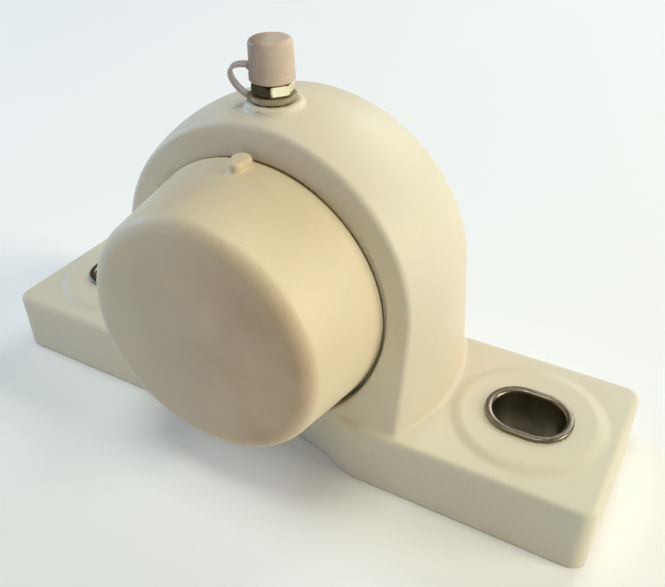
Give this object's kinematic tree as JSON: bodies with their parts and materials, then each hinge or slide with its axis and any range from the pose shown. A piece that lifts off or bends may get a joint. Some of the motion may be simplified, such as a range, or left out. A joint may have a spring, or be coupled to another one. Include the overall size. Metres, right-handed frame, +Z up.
{
  "type": "two-bolt pillow block bearing unit",
  "caption": "Two-bolt plastic pillow block with an insert ball bearing, a closed end cap, steel-lined bolt slots and a capped grease nipple.",
  "frame": {"origin": "middle of the base's underside, halfway between the bolt slots", "axes": "+X along the base's length, -Y out of the closed end cap, +Z up from the base to the grease nipple"},
  "size_m": [0.142, 0.0531, 0.083],
  "materials": {
    "housing_plastic": "ivory moulded thermoplastic with a satin gloss",
    "cap_plastic": "ivory moulded thermoplastic, slightly warmer than the housing",
    "sleeve_steel": "rolled stainless steel",
    "bearing_steel": "ground stainless bearing steel",
    "ball_steel": "polished bearing balls",
    "slinger_steel": "pressed stainless sheet",
    "seal_rubber": "black nitrile rubber",
    "cage_plastic": "moulded nylon",
    "screw_steel": "dark stainless set screw",
    "nipple_brass": "plated brass, bright on its flats",
    "nipple_steel": "spring steel",
    "dust_cap_plastic": "soft beige-grey polyethylene",
    "strap_plastic": "soft translucent polyethylene",
    "strap_ring_plastic": "soft olive-beige polyethylene"
  },
  "bodies": {
    "housing": {"housing": "housing_plastic", "bolt_sleeve_left": "sleeve_steel", "bolt_sleeve_right": "sleeve_steel", "grease_nipple": "nipple_brass", "nipple_spring": "nipple_steel", "dust_cap_ring": "strap_ring_plastic", "dust_cap_strap": "strap_plastic"},
    "insert": {"outer_ring": "bearing_steel", "seal_front": "seal_rubber", "seal_rear": "seal_rubber"},
    "inner": {"inner_ring": "bearing_steel", "slinger_front": "slinger_steel", "slinger_rear": "slinger_steel"},
    "cage": {"ball_cage": "cage_plastic", "ball_1": "ball_steel", "ball_2": "ball_steel", "ball_3": "ball_steel", "ball_4": "ball_steel", "ball_5": "ball_steel", "ball_6": "ball_steel", "ball_7": "ball_steel", "ball_8": "ball_steel", "ball_9": "ball_steel"},
    "set_screw_1": {"set_screw_1": "screw_steel"},
    "set_screw_2": {"set_screw_2": "screw_steel"},
    "end_cap": {"closed_end_cap": "cap_plastic"},
    "dust_cap": {"dust_cap": "dust_cap_plastic"},
    "check_ball": {"nipple_check_ball": "nipple_steel"}
  },
  "joints": [
    {"name": "bearing_align", "type": "hinge", "parent": "housing", "child": "insert", "pos_m": [0, 0, 0.0365], "axis": [1, 0, 0], "range_deg": [-2, 2]},
    {"name": "shaft_spin", "type": "hinge", "parent": "insert", "child": "inner", "pos_m": [0, 0, 0.0365], "axis": [0, 1, 0], "continuous": true},
    {"name": "cage_spin", "type": "hinge", "parent": "insert", "child": "cage", "pos_m": [0, 0, 0.0365], "axis": [0, 1, 0], "continuous": true},
    {"name": "set_screw_1_travel", "type": "slide", "parent": "inner", "child": "set_screw_1", "axis": [-0.5, 0, -0.866], "range_m": [0, 0.0014]},
    {"name": "set_screw_2_travel", "type": "slide", "parent": "inner", "child": "set_screw_2", "axis": [0.5, 0, -0.866], "range_m": [0, 0.0014]},
    {"name": "end_cap_pull", "type": "slide", "parent": "housing", "child": "end_cap", "axis": [0, -1, 0], "range_m": [0, 0.03]},
    {"name": "dust_cap_pull", "type": "slide", "parent": "housing", "child": "dust_cap", "axis": [0, 0, 1], "range_m": [0, 0.0065]},
    {"name": "check_ball_press", "type": "slide", "parent": "housing", "child": "check_ball", "axis": [0, 0, -1], "range_m": [0, 0.0008], "stiffness_N_per_m": 400, "springref_m": -0.0004}
  ],
  "couplings": [
    {"joint": "cage_spin", "follows": "shaft_spin", "ratio": 0.3969}
  ]
}
